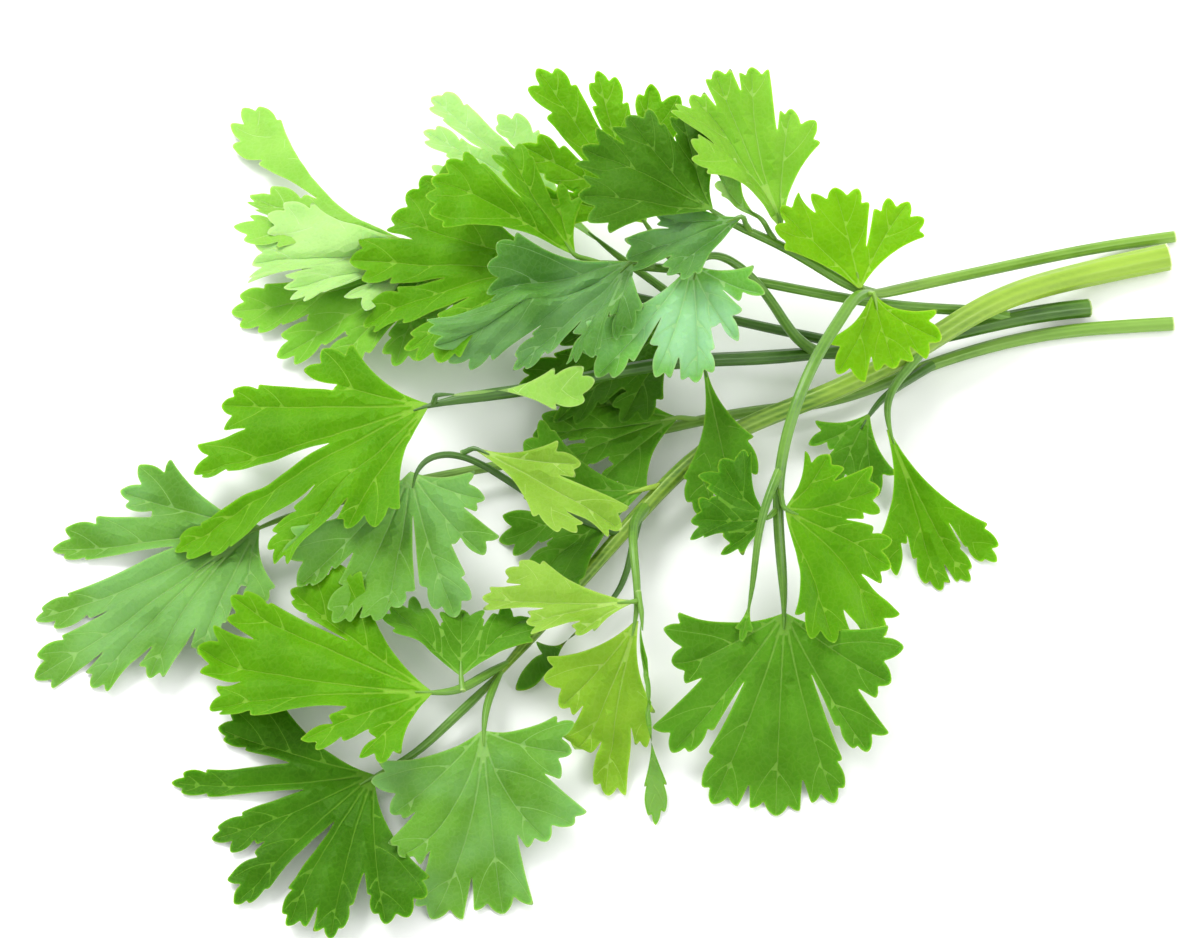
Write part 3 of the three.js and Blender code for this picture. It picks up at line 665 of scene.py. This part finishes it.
def leaf_tissue_and_painted_light():
    """Colour, roughness and relief of a blade: tissue, net of small veins, veins and margin, and painted
    light: a pale sheen in patches, shade towards the hub and highlights on the tooth tips.
    """
    tree, given, result = group(
        "leaf_tissue_and_painted_light",
        [("Deep", "Color", WHITE), ("Light", "Color", WHITE), ("Vein", "Color", WHITE),
         ("Painted Sheen", "Color", WHITE), ("Painted Sheen Amount", "Float", 0.0), ("Under", "Color", WHITE),
         ("Roughness", "Float", 0.4)],
        [("Color", "Color"), ("Roughness", "Float"), ("Height", "Float")],
    )
    take = given.outputs
    chart = node(tree, "ShaderNodeUVMap", uv_map="blade").outputs["UV"]
    place = node(tree, "ShaderNodeTexCoord").outputs["Object"]
    textures = {}
    for label, kind, where, scale, settings in (
        ("patches", "ShaderNodeTexNoise", chart, 7, {}),
        ("painted_sheen", "ShaderNodeTexNoise", place, 55, {}),
        ("grain", "ShaderNodeTexNoise", chart, 160, {}),
        ("net", "ShaderNodeTexVoronoi", chart, 95, {"feature": "DISTANCE_TO_EDGE"}),
    ):
        textures[label] = node(tree, kind, **settings)
        textures[label].inputs["Scale"].default_value = scale
        join(tree, (where, textures[label].inputs["Vector"]))
    grain, net = textures["grain"].outputs["Fac"], textures["net"].outputs["Distance"]
    vein = attribute(tree, "vein")
    on_vein = ramp(tree, vein, 0.4, 1.4, 0.42, 0.0)
    by_vein = ramp(tree, vein, 1.0, 7.0, 0.22, 0.0)
    on_net = ramp(tree, net, 0.0, 0.14, 0.07, 0.0)
    on_rim = ramp(tree, attribute(tree, "rim"), 0.0, 0.3, 0.2, 0.0)
    # Painted highlight: pale dots on the tooth tips.
    painted_tip_highlight = ramp(tree, attribute(tree, "tip"), 0.1, 0.6, 0.7, 0.0)
    # Painted shade: each blade darker near its hub and lighter out towards its lobes' ends.
    outer = ramp(tree, attribute(tree, "reach"), 0.35, 1.0, 0.0, 0.45)
    shade = ramp(tree, textures["patches"].outputs["Fac"], 0.3, 0.7, 0.0, 0.8)
    body = blend_colour(tree, shade, take["Deep"], take["Light"])
    body = blend_colour(tree, outer, body, take["Light"])
    # Painted sheen: pale noise patches in the colour stand in for the lamps' soft reflection on glossy
    # leaves.
    painted_sheen = arithmetic(tree, "MULTIPLY", ramp(tree, textures["painted_sheen"].outputs["Fac"], 0.4, 0.65),
                       take["Painted Sheen Amount"])
    body = blend_colour(tree, painted_sheen, body, take["Painted Sheen"])
    body = blend_colour(tree, on_net, body, take["Vein"])
    body = blend_colour(tree, by_vein, body, take["Light"])
    body = blend_colour(tree, attribute(tree, "under"), body, take["Under"])
    for mask in (on_vein, on_rim, painted_tip_highlight):
        body = blend_colour(tree, mask, body, take["Vein"])
    rough = arithmetic(tree, "ADD", take["Roughness"], ramp(tree, grain, 0.3, 0.7, -0.05, 0.08))
    relief = arithmetic(tree, "ADD", arithmetic(tree, "MULTIPLY", ramp(tree, net, 0.0, 0.3), 0.12),
                        arithmetic(tree, "MULTIPLY", grain, 0.25))
    relief = arithmetic(tree, "SUBTRACT", relief, arithmetic(tree, "MULTIPLY", on_vein, 0.5))
    join(tree, (body, result.inputs["Color"]), (rough, result.inputs["Roughness"]),
         (relief, result.inputs["Height"]))
    return tree


def stem_tissue():
    """Colour, roughness and relief of a stem: pale ribs, fine streaks, and a paler cut end."""
    tree, given, result = group(
        "stem_tissue",
        [("Deep", "Color", WHITE), ("Light", "Color", WHITE), ("Cut", "Color", WHITE),
         ("Roughness", "Float", 0.35), ("Pale reach", "Float", 0.02)],
        [("Color", "Color"), ("Roughness", "Float"), ("Height", "Float")],
    )
    take = given.outputs
    place = node(tree, "ShaderNodeTexCoord").outputs["Object"]
    stretched = node(tree, "ShaderNodeMapping")
    stretched.inputs["Scale"].default_value = (0.25, 1.0, 1.0)
    streaks = node(tree, "ShaderNodeTexNoise")
    streaks.inputs["Scale"].default_value = 1400
    patches = node(tree, "ShaderNodeTexNoise")
    patches.inputs["Scale"].default_value = 90
    join(tree, (place, stretched.inputs["Vector"]), (stretched.outputs["Vector"], streaks.inputs["Vector"]),
         (place, patches.inputs["Vector"]))
    rib, along = attribute(tree, "rib"), attribute(tree, "along")
    on_rib = ramp(tree, rib, -0.9, 1.0, 0.0, 0.45)
    shade = ramp(tree, patches.outputs["Fac"], 0.35, 0.65, 0.0, 0.5)
    body = blend_colour(tree, on_rib, take["Deep"], take["Light"])
    body = blend_colour(tree, shade, body, take["Light"])
    fine = ramp(tree, streaks.outputs["Fac"], 0.35, 0.7, 0.0, 0.3)
    body = blend_colour(tree, fine, body, take["Light"])
    near_end = node(tree, "ShaderNodeMapRange", interpolation_type="SMOOTHSTEP")
    near_end.inputs["From Min"].default_value = 0.0
    near_end.inputs["To Min"].default_value = 0.75
    near_end.inputs["To Max"].default_value = 0.0
    join(tree, (along, near_end.inputs["Value"]), (take["Pale reach"], near_end.inputs["From Max"]))
    body = blend_colour(tree, near_end.outputs["Result"], body, take["Light"])
    on_cut = ramp(tree, along, 0.0001, 0.0004, 1.0, 0.0)
    body = blend_colour(tree, on_cut, body, take["Cut"])
    rough = arithmetic(tree, "ADD", take["Roughness"],
                       ramp(tree, patches.outputs["Fac"], 0.3, 0.7, -0.05, 0.1))
    relief = arithmetic(tree, "MULTIPLY", streaks.outputs["Fac"], 0.4)
    join(tree, (body, result.inputs["Color"]), (rough, result.inputs["Roughness"]),
         (relief, result.inputs["Height"]))
    return tree


LEAF_TISSUE_AND_PAINTED_LIGHT = leaf_tissue_and_painted_light()
STEM_TISSUE = stem_tissue()


def finish(name, tissue, values, settings, relief):
    """A material whose colour, roughness and relief come from a tissue, with its own values."""
    material = bpy.data.materials.new(name)
    material.use_nodes = True
    tree = material.node_tree
    shader = tree.nodes["Principled BSDF"]
    for label, value in settings.items():
        shader.inputs[label].default_value = value
    made = node(tree, "ShaderNodeGroup", node_tree=tissue)
    for label, value in values.items():
        made.inputs[label].default_value = value
    bump = node(tree, "ShaderNodeBump")
    bump.inputs["Distance"].default_value = relief * MM
    bump.inputs["Strength"].default_value = 1.0
    join(tree, (made.outputs["Color"], shader.inputs["Base Color"]),
         (made.outputs["Roughness"], shader.inputs["Roughness"]),
         (made.outputs["Height"], bump.inputs["Height"]), (bump.outputs["Normal"], shader.inputs["Normal"]))
    return material


def leaf_finish(name, deep, light, vein, under, painted_sheen="#a8d098", painted_sheen_amount=0.0):
    """A blade's finish: its tissue's colours, and how much painted pale sheen lies on it."""
    return finish(
        name, LEAF_TISSUE_AND_PAINTED_LIGHT,
        {"Deep": colour(deep), "Light": colour(light), "Vein": colour(vein), "Under": colour(under),
         "Painted Sheen": colour(painted_sheen), "Painted Sheen Amount": painted_sheen_amount, "Roughness": 0.5},
        {"Subsurface Weight": 0.45, "Subsurface Radius": (0.5, 1.0, 0.1), "Subsurface Scale": 0.8 * MM,
         "Specular IOR Level": 0.2, "Specular Tint": (0.6, 1.0, 0.3, 1.0)},
        0.2,
    )


def stem_finish(name, deep, light, cut, pale_reach):
    """A stem's finish: its tissue's colours, its cut end's, and how far the pale end reaches."""
    return finish(
        name, STEM_TISSUE,
        {"Deep": colour(deep), "Light": colour(light), "Cut": colour(cut), "Roughness": 0.34,
         "Pale reach": pale_reach},
        {"Subsurface Weight": 0.4, "Subsurface Radius": (0.8, 1.0, 0.3), "Subsurface Scale": 1.0 * MM,
         "Specular IOR Level": 0.5},
        0.1,
    )


# The lime and pale finishes are partly the leaves' own lighter tone and partly painted light: the glow of
# light passing through backlit leaves.
LEAF_FINISHES = {
    "deep": leaf_finish("leaf_deep", "#2c5e02", "#44800a", "#7fb23c", "#5f8f3c"),
    "dark": leaf_finish("leaf_dark", "#336404", "#467a12", "#7fae45", "#5f8f3c"),
    "mid": leaf_finish("leaf_mid", "#437a0c", "#5c9a20", "#96c258", "#74a248"),
    "green": leaf_finish("leaf_green", "#4c8a00", "#64a408", "#a0cc4c", "#7cae48"),
    "bright": leaf_finish("leaf_bright", "#5a9800", "#70b00e", "#aad45a", "#88ba50"),
    "grass": leaf_finish("leaf_grass", "#6cae28", "#88c440", "#b4dc74", "#94c460"),
    "fresh": leaf_finish("leaf_fresh", "#6ca800", "#7cb80c", "#b0d858", "#94c458"),
    "light": leaf_finish("leaf_light", "#74ae24", "#88be3c", "#b8dc78", "#9ccc68"),
    "lime": leaf_finish("leaf_lime", "#84bc40", "#9cd05c", "#c8e89c", "#acd87c"),
    "pale": leaf_finish("leaf_pale", "#9ccc6c", "#b4de88", "#d4ecb4", "#b4dc94"),
    "satin": leaf_finish("leaf_satin", "#508420", "#6ca438", "#a4cc7c", "#84b064", "#8cc078", 0.5),
    "blue": leaf_finish("leaf_blue", "#44782a", "#5c9438", "#9cc684", "#7ca868", "#98c490", 0.3),
    # The strongest painted sheen: pale patches over much of the blade stand in for the lamps' reflection.
    "heavy_sheen": leaf_finish("leaf_frosted", "#5c9c34", "#74b44c", "#b4dc98", "#88b878", "#a4d8a8", 0.8),
    "soft": leaf_finish("leaf_soft", "#7cb43c", "#a0cc60", "#c8e89c", "#a4cc7c", "#cce8a8", 0.5),
    "yellow": leaf_finish("leaf_yellow", "#74a020", "#8cb830", "#b8d870", "#98bc58"),
    "gold": leaf_finish("leaf_gold", "#7ca62c", "#94bc48", "#c0dc80", "#a4c868"),
}
STEM_FINISHES = {
    "stalk_a": stem_finish("stalk_thin", "#6a9824", "#8cb840", "#cfe09a", 0.02),
    "stalk_b": stem_finish("stalk_lime", "#4c8018", "#a8cc40", "#e4eeb8", 0.085),
    "stalk_c": stem_finish("stalk_dark", "#34600e", "#5a8828", "#a8c078", 0.004),
    "stalk_d": stem_finish("stalk_green", "#5c8c20", "#88b444", "#cfe0a0", 0.05),
    "stem": stem_finish("stem_green", "#4e821c", "#78aa34", "#a0c468", 0.004),
    "stem_dark": stem_finish("stem_dark", "#34600e", "#56842c", "#86a85c", 0.004),
}
DARK_STEMS = {"stem_c_main", "stem_c_far", "stem_b_thin", "stem_b_strip", "stem_d_back"}

# ---- Stems: a ribbed tube along a path ------------------------------------------------------------


def stem_tree():
    """Geometry nodes that sweep a ribbed section along a path, with the path's own radius."""
    tree = bpy.data.node_groups.new("ribbed_stem", "GeometryNodeTree")
    put = tree.interface.new_socket
    put("Path", in_out="INPUT", socket_type="NodeSocketGeometry")
    for label, kind, value in (
        ("Ribs", "Int", RIBS),
        ("Rib Depth", "Float", RIB_DEPTH),
        ("Corners", "Int", 4 * RIBS),
        ("Spacing", "Float", RING_STEP * MM),
    ):
        put(label, in_out="INPUT", socket_type="NodeSocket" + kind).default_value = value
    put("Material", in_out="INPUT", socket_type="NodeSocketMaterial")
    put("Stem", in_out="OUTPUT", socket_type="NodeSocketGeometry")
    given, result = node(tree, "NodeGroupInput"), node(tree, "NodeGroupOutput")
    take = given.outputs

    curve = node(tree, "GeometryNodeMeshToCurve")
    girth = node(tree, "GeometryNodeInputNamedAttribute", data_type="FLOAT")
    girth.inputs["Name"].default_value = "girth"
    even = node(tree, "GeometryNodeResampleCurve", mode="LENGTH")
    gone = node(tree, "GeometryNodeSplineParameter")
    mark = node(tree, "GeometryNodeStoreNamedAttribute", data_type="FLOAT", domain="POINT")
    mark.inputs["Name"].default_value = "along"

    section = node(tree, "GeometryNodeCurvePrimitiveCircle", mode="RADIUS")
    section.inputs["Radius"].default_value = 1.0
    turn = node(tree, "GeometryNodeSplineParameter")
    angle = arithmetic(tree, "MULTIPLY", turn.outputs["Factor"], 2 * math.pi)
    wave = node(tree, "ShaderNodeMath", operation="COSINE")
    join(tree, (arithmetic(tree, "MULTIPLY", angle, take["Ribs"]), wave.inputs[0]))
    marked = node(tree, "GeometryNodeStoreNamedAttribute", data_type="FLOAT", domain="POINT")
    marked.inputs["Name"].default_value = "rib"
    size = arithmetic(tree, "ADD", 1.0, arithmetic(tree, "MULTIPLY", wave.outputs[0], take["Rib Depth"]))
    here = node(tree, "GeometryNodeInputPosition")
    scaled = node(tree, "ShaderNodeVectorMath", operation="SCALE")
    ribbed = node(tree, "GeometryNodeSetPosition")

    sweep = node(tree, "GeometryNodeCurveToMesh")
    sweep.inputs["Fill Caps"].default_value = True
    smooth = node(tree, "GeometryNodeSetShadeSmooth")
    real = node(tree, "GeometryNodeRealizeInstances")
    paint = node(tree, "GeometryNodeSetMaterial")
    join(
        tree,
        (take["Path"], curve.inputs["Mesh"]), (curve.outputs["Curve"], even.inputs["Curve"]),
        (take["Spacing"], even.inputs["Length"]), (even.outputs["Curve"], mark.inputs["Geometry"]),
        (gone.outputs["Length"], mark.inputs["Value"]),
        (take["Corners"], section.inputs["Resolution"]),
        (section.outputs["Curve"], marked.inputs["Geometry"]),
        (wave.outputs[0], marked.inputs["Value"]), (marked.outputs["Geometry"], ribbed.inputs["Geometry"]),
        (here.outputs["Position"], scaled.inputs[0]), (size, scaled.inputs["Scale"]),
        (scaled.outputs["Vector"], ribbed.inputs["Position"]),
        (mark.outputs["Geometry"], sweep.inputs["Curve"]),
        (ribbed.outputs["Geometry"], sweep.inputs["Profile Curve"]),
        (girth.outputs["Attribute"], sweep.inputs["Scale"]),
        (sweep.outputs["Mesh"], smooth.inputs["Geometry"]),
        (smooth.outputs["Geometry"], real.inputs["Geometry"]),
        (real.outputs["Geometry"], paint.inputs["Geometry"]),
        (take["Material"], paint.inputs["Material"]),
        (paint.outputs["Geometry"], result.inputs["Stem"]),
    )
    return tree


STEM_TREE = stem_tree()
SOCKETS = {s.name: s.identifier for s in STEM_TREE.interface.items_tree if s.in_out == "INPUT"}


def swept(name, lines, material):
    """Ribbed stems along lines of (x, y, z, radius) in mm, as one plain mesh."""
    path = bpy.data.meshes.new(name + "_path")
    first = np.cumsum([0] + [len(line) for line in lines])
    edges = [(f + k, f + k + 1) for f, line in zip(first, lines) for k in range(len(line) - 1)]
    points = np.vstack(lines)
    path.from_pydata([tuple(p) for p in points[:, :3] * MM], edges, [])
    path.attributes.new("girth", "FLOAT", "POINT").data.foreach_set(
        "value", (points[:, 3] * MM).astype(np.float32))
    carrier = bpy.data.objects.new(name + "_path", path)
    bpy.context.scene.collection.objects.link(carrier)
    modifier = carrier.modifiers.new("stem", "NODES")
    modifier.node_group = STEM_TREE
    modifier[SOCKETS["Material"]] = material
    view = bpy.context.evaluated_depsgraph_get()
    mesh = bpy.data.meshes.new_from_object(carrier.evaluated_get(view), depsgraph=view)
    mesh.name = name
    carrier.modifiers.remove(modifier)
    bpy.data.objects.remove(carrier)
    bpy.data.meshes.remove(path)
    shape = bmesh.new()
    shape.from_mesh(mesh)
    bmesh.ops.recalc_face_normals(shape, faces=shape.faces)
    shape.to_mesh(mesh)
    shape.free()
    mesh.set_sharp_from_angle(angle=math.radians(55))
    piece = bpy.data.objects.new(name, mesh)
    bpy.context.scene.collection.objects.link(piece)
    return piece


# ---- Building -----------------------------------------------------------------------------------

centre_lines = {name: read_stem(name) for name in STEMS}
fine_lines = {name: smooth_line(eased(points), radii) for name, (points, radii) in centre_lines.items()}


def rooted(parent, start, ahead, radius):
    """Where a stem parts from its parent: on the parent's centre line, a little before it."""
    trunk = fine_lines[parent]
    here = np.linalg.norm(trunk[:, :3] - start, axis=1).argmin()
    way = unit(trunk[min(here + 4, len(trunk) - 1), :3] - trunk[max(here - 4, 0), :3])
    back = round(8 * float(np.clip(2 * (way @ ahead), -0.4, 1)))
    root = trunk[int(np.clip(here - back, 0, len(trunk) - 1))]
    return [*root[:3], min(root[3] * 0.9, radius * 1.25)]


blades = {}
for name, (stem, look, cuts) in LEAVES.items():
    piece, hub, ahead = blade_mesh(name, fine_lines[stem], cuts, NARROWED.get(name, NARROWING))
    piece.data.materials.append(LEAF_FINISHES[look])
    blades[name] = (piece, hub, ahead)

for name, parent in STEMS.items():
    line = fine_lines[name]
    if parent:
        line = np.vstack([rooted(parent, line[0][:3], unit(line[6][:3] - line[0][:3]), line[0][3]), line])
    carried = {leaf: blades[leaf][1:] for leaf, (stem, *_) in LEAVES.items() if stem == name}
    last = line[-1][:3]
    ends = [leaf for leaf, (hub, _) in carried.items() if np.linalg.norm(hub - last) < AT_END]
    if ends:
        hub, ahead = carried.pop(min(ends, key=lambda leaf: np.linalg.norm(carried[leaf][0] - last)))
        line = np.vstack([line, [*hub, PETIOLE_END], [*(hub + ahead * 3), VEIN_END]])
    line = eased(evenly(line, BEND_STEP))
    lines = [smooth_line(line[:, :3], line[:, 3])]
    for hub, ahead in carried.values():
        root = np.array(rooted(name, hub, ahead, 0.5))
        half = (root[:3] + hub) / 2
        side = np.array([root, [*half, 0.48], [*hub, PETIOLE_END], [*(hub + ahead * 3), VEIN_END]])
        lines.append(smooth_line(side[:, :3], side[:, 3]))
    material = STEM_FINISHES.get(name, STEM_FINISHES["stem_dark" if name in DARK_STEMS else "stem"])
    piece = swept(name + "_skin", lines, material)
    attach(piece, "root")
    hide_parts(name)

for name, (_, look, _) in LEAVES.items():
    piece = blades[name][0]
    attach(piece, "root")
    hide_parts(name)

# ---- Floor, light and camera -----------------------------------------------------------------------

floor_mesh = bpy.data.meshes.new("floor")
floor_mesh.from_pydata([(-3, -3, 0), (3, -3, 0), (3, 3, 0), (-3, 3, 0)], [], [(0, 1, 2, 3)])
floor = bpy.data.objects.new("floor", floor_mesh)
bpy.context.scene.collection.objects.link(floor)
paper = bpy.data.materials.new("white_paper")
paper.use_nodes = True
coating = paper.node_tree.nodes["Principled BSDF"]
coating.inputs["Base Color"].default_value = (0.97, 0.97, 0.97, 1)
coating.inputs["Roughness"].default_value = 0.9
floor_mesh.materials.append(paper)

scene = bpy.context.scene
world = bpy.data.worlds.new("studio")
scene.world = world
world.use_nodes = True
sky = world.node_tree.nodes["Background"]
sky.inputs["Color"].default_value = WHITE
sky.inputs["Strength"].default_value = 1.05
scene.view_settings.view_transform = "Standard"


def soft_light(name, place, size, power):
    """A round lamp of a size and a power, turned to the middle of the floor."""
    lamp = bpy.data.lights.new(name, "AREA")
    lamp.shape = "DISK"
    lamp.size = size
    lamp.energy = power
    holder = bpy.data.objects.new(name, lamp)
    holder.location = place
    holder.rotation_euler = (-Vector(place)).to_track_quat("-Z", "Y").to_euler()
    scene.collection.objects.link(holder)


soft_light("key", (-0.5, 0.7, 1.1), 0.7, 14)
soft_light("fill", (0.9, -0.6, 1.0), 0.9, 7)

camera = bpy.data.cameras.new("camera")
camera.lens = 205.7
camera.sensor_width = 36
holder = bpy.data.objects.new("camera", camera)
tilt = math.radians(60)
away = 1.2
aim = Vector((-2.5, 9.36, 0)) * MM  # the middle of the view, on the surface
holder.location = aim + away * Vector((0, -math.cos(tilt), math.sin(tilt)))
holder.rotation_euler = (math.pi / 2 - tilt, 0, 0)
scene.collection.objects.link(holder)
scene.camera = holder
